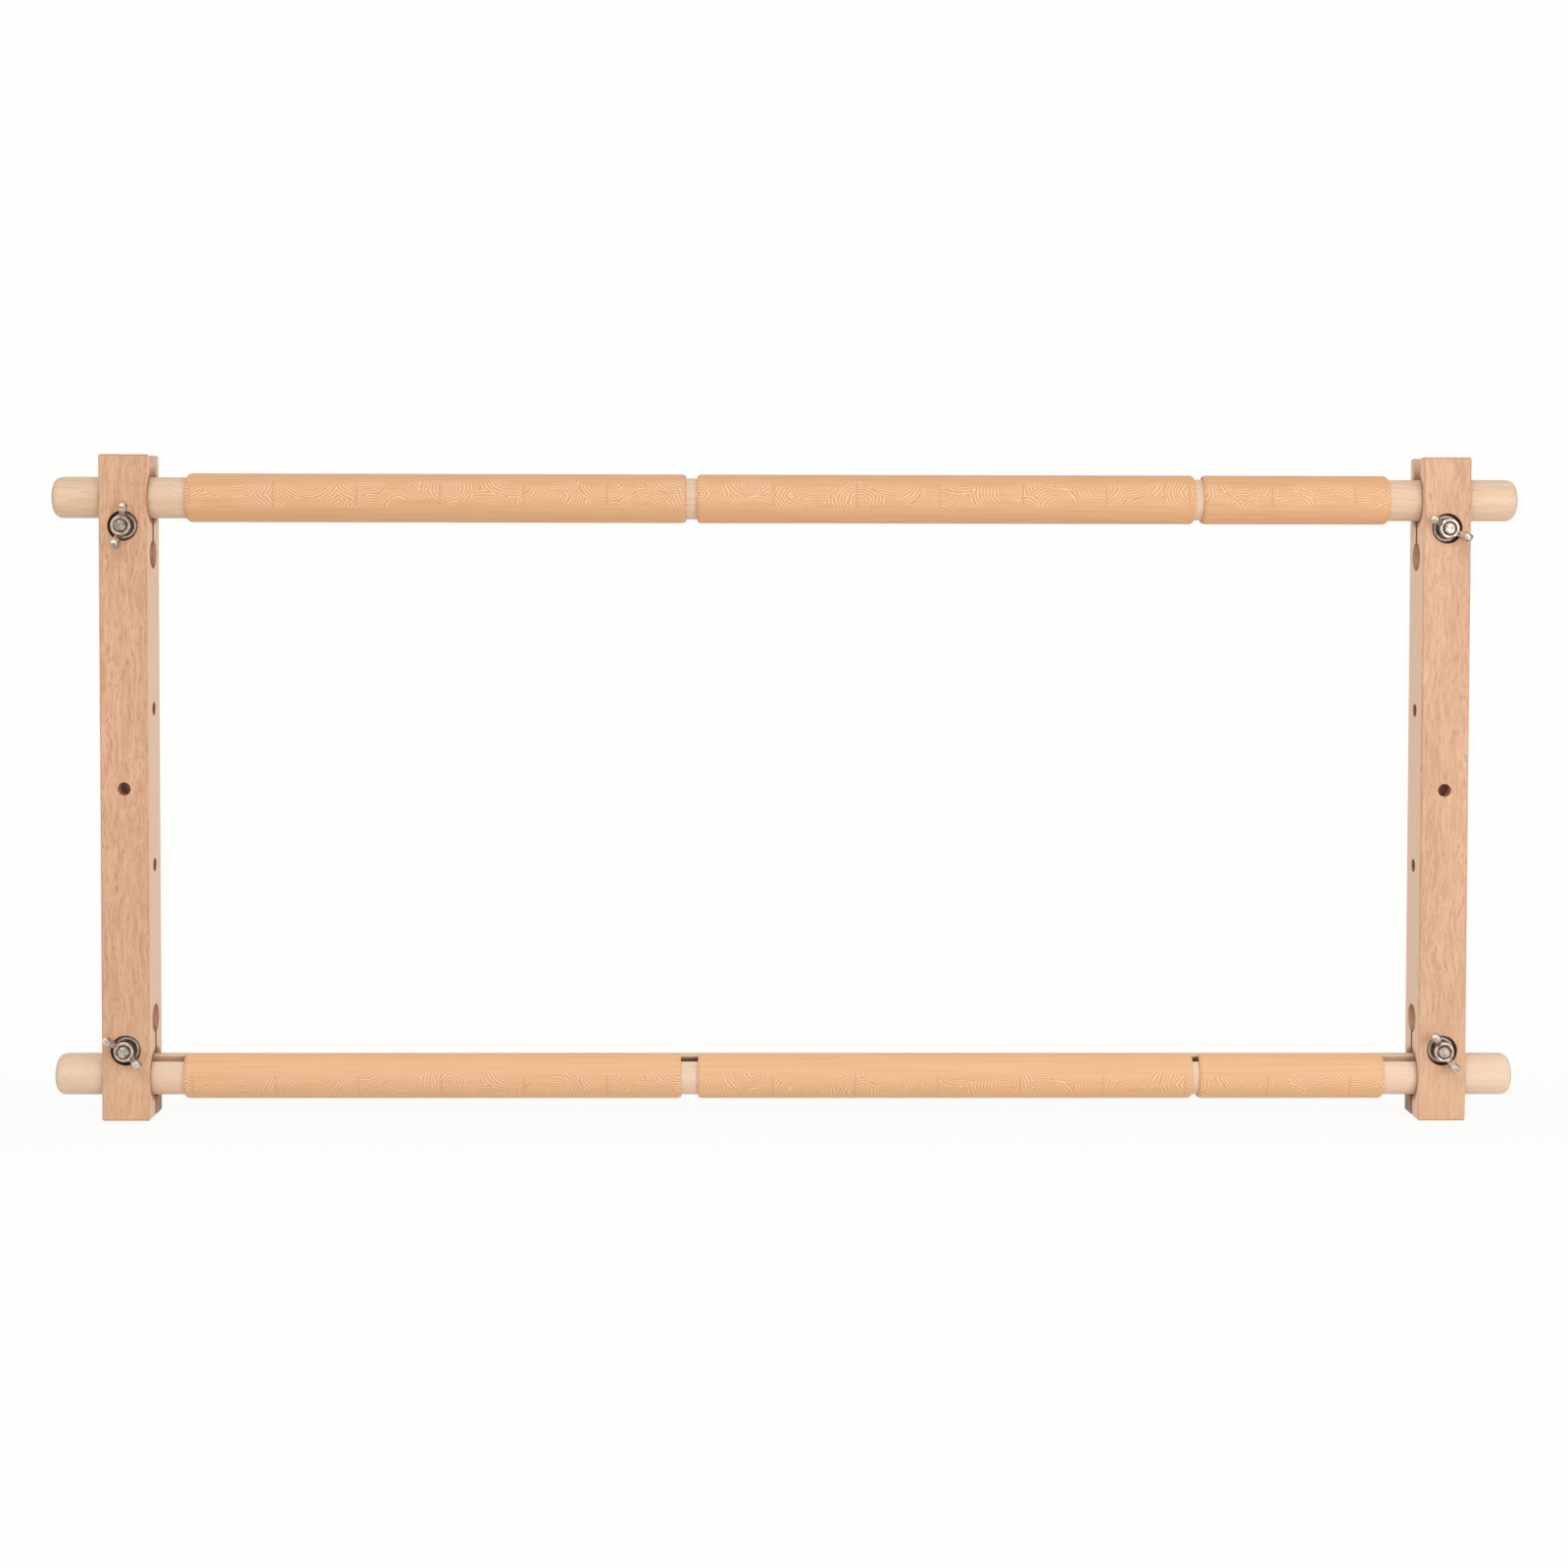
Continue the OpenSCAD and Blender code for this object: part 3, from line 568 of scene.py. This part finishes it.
# Painted reflection: the zinc's slight warm tint stands for the wood that it mirrors
ZINC_BRIGHT = "#D2C5B8"
ZINC_DULL = "#988979"
CORNERS = ("top_left", "top_right", "bottom_left", "bottom_right")
RAIL_X = {"left": -RAIL_CENTRE, "right": RAIL_CENTRE}
BOLT_HEIGHT = {"top": RAIL_MIDDLE + BOLT_STEP, "bottom": RAIL_MIDDLE - BOLT_STEP}
SEAT_Y = 12 * MM
BOLT_LENGTH = 30 * MM
THREAD_START = 5 * MM
THREAD_PITCH = 0.8 * MM
HEAD_RADIUS = 6.75 * MM
HEAD_HEIGHT = 3 * MM
NECK_WIDTH = 5 * MM
NECK_LENGTH = 4 * MM
CREST_RADIUS = 2.48 * MM
ROOT_RADIUS = 2.02 * MM
THREAD_SIDES = 40
SLICES_PER_THREAD = 8
CAP_STEPS = 12


def plated(name, bright, dull, rough, metal):
    """Zinc plate that mirrors a blurred room, with clouds of tarnish 2 mm wide and pits drawn 0.7 mm wide."""
    material = new_material(name)
    tree = material.node_tree
    place = add(tree, "ShaderNodeTexCoord").outputs["Object"]
    cloud = add(tree, "ShaderNodeTexNoise", inputs={"Vector": place, "Scale": 420.0, "Detail": 3.0})
    tarnish = add(tree, "ShaderNodeMapRange", inputs=[cloud, 0.42, 0.66, 0.0, 1.0])
    colour = add(tree, "ShaderNodeMix", {"data_type": "RGBA"}, [tarnish, linear(bright), linear(dull)])
    blur = add(tree, "ShaderNodeMapRange", inputs=[cloud, 0.3, 0.7, rough, rough + 0.15])
    grit = add(tree, "ShaderNodeTexNoise", inputs={"Vector": place, "Scale": 1500.0, "Detail": 2.0})
    pits = add(tree, "ShaderNodeBump", inputs={"Height": grit, "Strength": 0.25, "Distance": 0.1 * MM})
    shader = add(tree, "ShaderNodeBsdfPrincipled", inputs={
        "Base Color": colour, "Metallic": metal, "Roughness": blur, "Normal": pits})
    add(tree, "ShaderNodeOutputMaterial", inputs={"Surface": shader})
    return material


zinc = plated("bright_zinc_plate", ZINC_BRIGHT, ZINC_DULL, rough=0.26, metal=1.0)


def corner_place(corner, y, angle=0.0):
    """The matrix that stands a part drawn along Z at a corner's bolt, its Z to the front."""
    row, side = corner.split("_")
    spot = Matrix.Translation((RAIL_X[side], y, BOLT_HEIGHT[row]))
    return spot @ Matrix.Rotation(math.radians(90), 4, "X") @ Matrix.Rotation(angle, 4, "Z")


def lathe(shape, profile, steps, closed=False):
    """Adds a profile of radius and height points turned round Z to a bmesh."""
    rounds = []
    for radius, height in profile:
        count = steps if radius > 0 else 1
        rounds.append([shape.verts.new((
            radius * math.cos(math.tau * i / steps), radius * math.sin(math.tau * i / steps), height))
            for i in range(count)])
    following = rounds[1:] + (rounds[:1] if closed else [])
    for low, high in zip(rounds, following):
        for i in range(steps):
            corners = [low[i % len(low)], low[(i + 1) % len(low)]]
            corners += [high[(i + 1) % len(high)], high[i % len(high)]]
            shape.faces.new(list(dict.fromkeys(corners)))


def plain_mesh(name, shape, material, matrix=None):
    """Turns a bmesh into a mesh with its normals outwards, its material set and its place applied."""
    bmesh.ops.remove_doubles(shape, verts=shape.verts, dist=1e-7)
    bmesh.ops.recalc_face_normals(shape, faces=shape.faces)
    mesh = bpy.data.meshes.new(name)
    shape.to_mesh(mesh)
    shape.free()
    mesh.materials.append(material)
    if matrix:
        mesh.transform(matrix)
    return mesh


tree, given = new_tree("rolled_thread", {
    "Crest Radius": "Float", "Root Radius": "Float", "Pitch": "Float", "Start": "Float", "End": "Float",
    "Chamfer": "Float", "Material": "Material"})
length = add(tree, "ShaderNodeMath", {"operation": "SUBTRACT"}, [given["End"], given["Start"]])
threads = add(tree, "ShaderNodeMath", {"operation": "DIVIDE"}, [length, given["Pitch"]])
slices = add(tree, "ShaderNodeMath", {"operation": "MULTIPLY"}, [threads, SLICES_PER_THREAD])
slices = add(tree, "ShaderNodeMath", {"operation": "ROUND"}, [slices])
rod = add(tree, "GeometryNodeMeshCylinder", {"fill_type": "NGON"}, {
    "Vertices": THREAD_SIDES, "Side Segments": slices, "Radius": given["Crest Radius"], "Depth": length})
spot = add(tree, "ShaderNodeSeparateXYZ", inputs=[add(tree, "GeometryNodeInputPosition")]).outputs

# A place's share of a turn, taken from its share of the pitch, gives its phase in the helix
angle = add(tree, "ShaderNodeMath", {"operation": "ARCTAN2"}, [spot[1], spot[0]])
turns = add(tree, "ShaderNodeMath", {"operation": "DIVIDE"}, [angle, math.tau])
pitches = add(tree, "ShaderNodeMath", {"operation": "DIVIDE"}, [spot[2], given["Pitch"]])
behind = add(tree, "ShaderNodeMath", {"operation": "SUBTRACT"}, [pitches, turns])
phase = add(tree, "ShaderNodeMath", {"operation": "FRACT"}, [behind])
doubled = add(tree, "ShaderNodeMath", {"operation": "MULTIPLY"}, [phase, 2.0])
centred = add(tree, "ShaderNodeMath", {"operation": "SUBTRACT"}, [doubled, 1.0])
flank = add(tree, "ShaderNodeMath", {"operation": "ABSOLUTE"}, [centred])
deep = add(tree, "ShaderNodeMath", {"operation": "SUBTRACT"}, [given["Crest Radius"], given["Root Radius"]])
radius = add(tree, "ShaderNodeMath", {"operation": "MULTIPLY_ADD"}, [flank, deep, given["Root Radius"]])

# The thread's end is chamfered
half_rod = add(tree, "ShaderNodeMath", {"operation": "MULTIPLY"}, [length, 0.5])
from_end = add(tree, "ShaderNodeMath", {"operation": "SUBTRACT"}, [half_rod, spot[2]])
end_radius = add(tree, "ShaderNodeMath", {"operation": "SUBTRACT"}, [given["Crest Radius"], given["Chamfer"]])
eased = add(tree, "ShaderNodeMath", {"operation": "ADD"}, [end_radius, from_end])
smaller = add(tree, "ShaderNodeMath", {"operation": "MINIMUM"}, [radius, eased])
share = add(tree, "ShaderNodeMath", {"operation": "DIVIDE"}, [smaller, given["Crest Radius"]])
x = add(tree, "ShaderNodeMath", {"operation": "MULTIPLY"}, [spot[0], share])
y = add(tree, "ShaderNodeMath", {"operation": "MULTIPLY"}, [spot[1], share])
lift = add(tree, "ShaderNodeMath", {"operation": "MULTIPLY_ADD"}, [length, 0.5, given["Start"]])
z = add(tree, "ShaderNodeMath", {"operation": "ADD"}, [lift, spot[2]])
place = add(tree, "ShaderNodeCombineXYZ", inputs=[x, y, z])
cut_rod = add(tree, "GeometryNodeSetPosition", inputs={"Geometry": rod, "Position": place})
close_tree(tree, [cut_rod], given["Material"])
thread = grown(tree, {
    "Crest Radius": CREST_RADIUS, "Root Radius": ROOT_RADIUS, "Pitch": THREAD_PITCH, "Start": THREAD_START,
    "End": BOLT_LENGTH, "Chamfer": 0.6 * MM, "Material": zinc})

for corner in CORNERS:
    shape = bmesh.new()
    shape.from_mesh(thread)
    ball = (HEAD_RADIUS ** 2 + HEAD_HEIGHT ** 2) / (2 * HEAD_HEIGHT)
    widest = math.asin(HEAD_RADIUS / ball)
    tilts = [widest * i / CAP_STEPS for i in range(CAP_STEPS + 1)]
    cap = [(ball * math.sin(tilt), ball - HEAD_HEIGHT - ball * math.cos(tilt)) for tilt in tilts]
    lathe(shape, [*cap, (HEAD_RADIUS - 0.2 * MM, 0.0), (0.0, 0.0)], steps=64)
    shank = [
        (0.0, NECK_LENGTH), (CREST_RADIUS, NECK_LENGTH), (CREST_RADIUS, THREAD_START), (0.0, THREAD_START)]
    lathe(shape, shank, steps=THREAD_SIDES)
    neck = Matrix.Translation((0, 0, NECK_LENGTH / 2))
    neck = neck @ Matrix.Diagonal((NECK_WIDTH, NECK_WIDTH, NECK_LENGTH, 1))
    bmesh.ops.create_cube(shape, size=1.0, matrix=neck)
    bolt = plain_mesh("bolt", shape, zinc, corner_place(corner, SEAT_Y))
    place_piece(f"{corner}_carriage_bolt", bolt, f"{corner}_bolt", corner.split("_")[1] + "_side")

# Washers
# Four flat M5 washers, punched from strip and zinc plated, so one edge of
# each is rolled over. They lie in the counterbores, under the wing nuts.

WASHER_Y = -8.5 * MM
WASHER_PALE = "#FFF4E8"
WASHER_DULL = "#EAD9C6"
# Radius and height of each corner of its section, in mm
WASHER_PROFILE = [
    (2.75, 0.0), (5.7, 0.0), (5.8, 0.1), (5.8, 0.65), (5.7, 0.9), (5.45, 1.0), (2.9, 1.0), (2.75, 0.9)]

# The washers' plate is duller and paler than the nuts' and mirrors little; the paleness and warm tint are
# painted light against the counterbores' shade and a painted reflection of the wood
pale_washer_zinc = plated("washer_zinc_painted_pale", WASHER_PALE, WASHER_DULL, rough=0.45, metal=0.25)
for corner in CORNERS:
    shape = bmesh.new()
    lathe(shape, [(r * MM, z * MM) for r, z in WASHER_PROFILE], steps=96, closed=True)
    washer = plain_mesh("washer", shape, pale_washer_zinc, corner_place(corner, WASHER_Y))
    place_piece(f"{corner}_flat_washer", washer, f"{corner}_washer", f"{corner}_washer")

# Wing nuts
# Four M5 wing nuts, cast with a round hub and two rounded wings that spread
# outwards, and zinc plated. Each one is left at its own angle.

NUT_Y = -9.5 * MM
WING_ANGLES = {"top_left": 77, "top_right": -28, "bottom_left": -38, "bottom_right": -57}
# Radius and height of each corner of the hub's section, in mm
HUB_PROFILE = [(2.55, 0.0), (4.7, 0.0), (5.0, 0.3), (4.6, 6.7), (4.3, 7.0), (3.35, 7.0), (2.55, 6.2)]
WING_BLUNTNESS = 0.45
BALL_STEPS = 12
# Each wing is drawn round four flattened balls: distance out, height, radius and half thickness, in mm
WING_BALLS = ((3.9, 4.0, 1.9, 1.3), (5.6, 5.8, 2.0, 1.5), (7.4, 7.9, 2.15, 1.8), (8.5, 9.2, 2.3, 1.95))


def add_wing(shape, way):
    """Adds one wing as the hulls of neighbouring flattened balls."""
    for pair in zip(WING_BALLS, WING_BALLS[1:]):
        lump = bmesh.new()
        for out, height, radius, half in pair:
            for i in range(1, BALL_STEPS):
                for j in range(2 * BALL_STEPS):
                    lift, turn = math.pi * i / BALL_STEPS, math.pi * j / BALL_STEPS
                    lump.verts.new((
                        (way * out + radius * math.sin(lift) * math.cos(turn)) * MM,
                        half * math.copysign(abs(math.cos(lift)) ** WING_BLUNTNESS, math.cos(lift)) * MM,
                        (height + radius * math.sin(lift) * math.sin(turn)) * MM))
        bmesh.ops.convex_hull(lump, input=lump.verts[:])
        bmesh.ops.delete(lump, geom=[v for v in lump.verts if not v.link_faces], context="VERTS")
        held = bpy.data.meshes.new("held")
        lump.to_mesh(held)
        lump.free()
        shape.from_mesh(held)
        bpy.data.meshes.remove(held)


for corner in CORNERS:
    shape = bmesh.new()
    lathe(shape, [(r * MM, z * MM) for r, z in HUB_PROFILE], steps=96, closed=True)
    for way in (-1, 1):
        add_wing(shape, way)
    # Remeshing melts hub and wings into one casting with soft inner corners
    rough = bpy.data.objects.new("rough", plain_mesh("rough", shape, zinc))
    bpy.context.scene.collection.objects.link(rough)
    melt = rough.modifiers.new("melt", "REMESH")
    melt.mode = "VOXEL"
    melt.voxel_size = 0.18 * MM
    soften = rough.modifiers.new("soften", "SMOOTH")
    soften.factor = 0.5
    soften.iterations = 6
    nut = bpy.data.meshes.new_from_object(rough.evaluated_get(bpy.context.evaluated_depsgraph_get()))
    bpy.data.objects.remove(rough)
    nut.materials.clear()
    nut.materials.append(zinc)
    nut.transform(corner_place(corner, NUT_Y, math.radians(WING_ANGLES[corner])))
    node = f"{corner}_wing_nut"
    place_piece(f"{corner}_cast_wing_nut", nut, node, node, sharp=math.radians(60))

# Floor and light
# A plain white studio: a white floor and backdrop, one large soft lamp from
# the upper left of the camera and a weaker fill from the right.

STUDIO_WHITE = "#FEFEFD"


def white_stage(name):
    """White as the photo's background where the camera sees it, with a faint shadow near the object."""
    material = new_material(name)
    tree = material.node_tree
    path = add(tree, "ShaderNodeLightPath")
    seen = add(tree, "ShaderNodeMath", {"operation": "MAXIMUM"}, [
        path.outputs["Is Camera Ray"], path.outputs["Is Glossy Ray"]])
    seen = add(tree, "ShaderNodeMath", {"operation": "MAXIMUM"}, [seen, path.outputs["Is Transmission Ray"]])
    matte = add(tree, "ShaderNodeBsdfDiffuse", inputs={"Color": (0.97, 0.96, 0.95, 1.0)})
    glow = add(tree, "ShaderNodeEmission", inputs={"Color": linear(STUDIO_WHITE), "Strength": 1.0})
    place = add(tree, "ShaderNodeTexCoord").outputs["Object"]
    spot = add(tree, "ShaderNodeSeparateXYZ", inputs=[place]).outputs
    depth = add(tree, "ShaderNodeMath", {"operation": "ABSOLUTE"}, [spot[1]])
    glowing = add(tree, "ShaderNodeMapRange", inputs=[depth, 30 * MM, 160 * MM, 0.93, 1.0])
    soft = add(tree, "ShaderNodeMixShader", inputs=[glowing, matte, glow])
    mixed = add(tree, "ShaderNodeMixShader", inputs=[seen, matte, soft])
    add(tree, "ShaderNodeOutputMaterial", inputs={"Surface": mixed})
    return material


floor_mesh = bpy.data.meshes.new("floor")
shape = bmesh.new()
bmesh.ops.create_grid(shape, x_segments=2, y_segments=2, size=6.0)
shape.to_mesh(floor_mesh)
shape.free()
floor_mesh.materials.append(white_stage("white_floor"))
floor = bpy.data.objects.new("floor", floor_mesh)
bpy.context.scene.collection.objects.link(floor)

world = bpy.data.worlds.new("white_studio")
world.use_nodes = True
bpy.context.scene.world = world
tree = world.node_tree
tree.nodes.clear()
path = add(tree, "ShaderNodeLightPath")
way = add(tree, "ShaderNodeTexCoord").outputs["Generated"]
split = add(tree, "ShaderNodeSeparateXYZ", inputs=[way]).outputs

# Polished metal sees a warm room that is bright at the upper left and dark at the lower right
leftwards = add(tree, "ShaderNodeMath", {"operation": "MULTIPLY"}, [split[0], -0.45])
slope = add(tree, "ShaderNodeMath", {"operation": "MULTIPLY_ADD"}, [split[2], 0.6, leftwards])
bright = add(tree, "ShaderNodeMapRange", inputs=[slope, -0.3, 0.6, 0.05, 1.35])
green = add(tree, "ShaderNodeMath", {"operation": "MULTIPLY"}, [bright, 0.97])
blue = add(tree, "ShaderNodeMath", {"operation": "MULTIPLY"}, [bright, 0.93])
room = add(tree, "ShaderNodeCombineColor", inputs=[bright, green, blue])
ambient = add(tree, "ShaderNodeBackground", inputs={"Color": (1.0, 1.0, 1.0, 1.0), "Strength": 0.6})
reflected = add(tree, "ShaderNodeBackground", inputs={"Color": room, "Strength": 1.0})
seen_white = add(tree, "ShaderNodeBackground", inputs={"Color": linear(STUDIO_WHITE), "Strength": 1.0})
shiny = add(tree, "ShaderNodeMath", {"operation": "MAXIMUM"}, [
    path.outputs["Is Glossy Ray"], path.outputs["Is Transmission Ray"]])
first = add(tree, "ShaderNodeMixShader", inputs=[shiny, ambient, reflected])
second = add(tree, "ShaderNodeMixShader", inputs=[path.outputs["Is Camera Ray"], first, seen_white])
add(tree, "ShaderNodeOutputWorld", inputs={"Surface": second})


def lamp(name, place, target, size, power):
    """A rectangular area lamp at a place, aimed at a target."""
    data = bpy.data.lights.new(name, "AREA")
    data.shape = "RECTANGLE"
    data.size, data.size_y = size
    data.energy = power
    lit = bpy.data.objects.new(name, data)
    lit.location = place
    lit.rotation_euler = (Vector(target) - Vector(place)).to_track_quat("-Z", "Y").to_euler()
    bpy.context.scene.collection.objects.link(lit)


lamp("soft_key", (-0.45, -1.35, 1.45), target=(0, 0, 0.05), size=(1.2, 0.9), power=8.9)
lamp("fill", (1.0, -1.3, 0.4), target=(0, 0, -0.15), size=(1.2, 0.76), power=8.1)

# Camera
# The viewpoint that the rails' corners and the rollers' ends give: 1.2 m in
# front of the frame, near the height of its upper roller. The photo was cut
# to a square below the middle of its view, so the view is shifted down.

PHOTO_WIDTH = 1600
FOCAL_PIXELS = 2600.0
VIEW_CENTRE_Y = 650.8
CAMERA_PLACE = (-0.0135, -1.1744, 0.2589)
# Turned right, tipped down and rolled, in degrees
CAMERA_TURNS = {"Z": -0.609, "X": -1.818, "Y": -0.118}

camera = bpy.data.objects.new("camera", bpy.data.cameras.new("camera"))
camera.data.sensor_width = 36.0
camera.data.lens = FOCAL_PIXELS / PHOTO_WIDTH * camera.data.sensor_width
camera.data.shift_y = (VIEW_CENTRE_Y - PHOTO_WIDTH / 2) / PHOTO_WIDTH
camera.data.clip_start = 0.05
camera.data.clip_end = 30.0
aim = Matrix.Translation(CAMERA_PLACE)
for axis, degrees in CAMERA_TURNS.items():
    aim = aim @ Matrix.Rotation(math.radians(degrees), 4, axis)
camera.matrix_world = aim @ Matrix.Rotation(math.radians(90), 4, "X")
bpy.context.scene.collection.objects.link(camera)
bpy.context.scene.camera = camera
bpy.context.scene.view_settings.view_transform = "Standard"
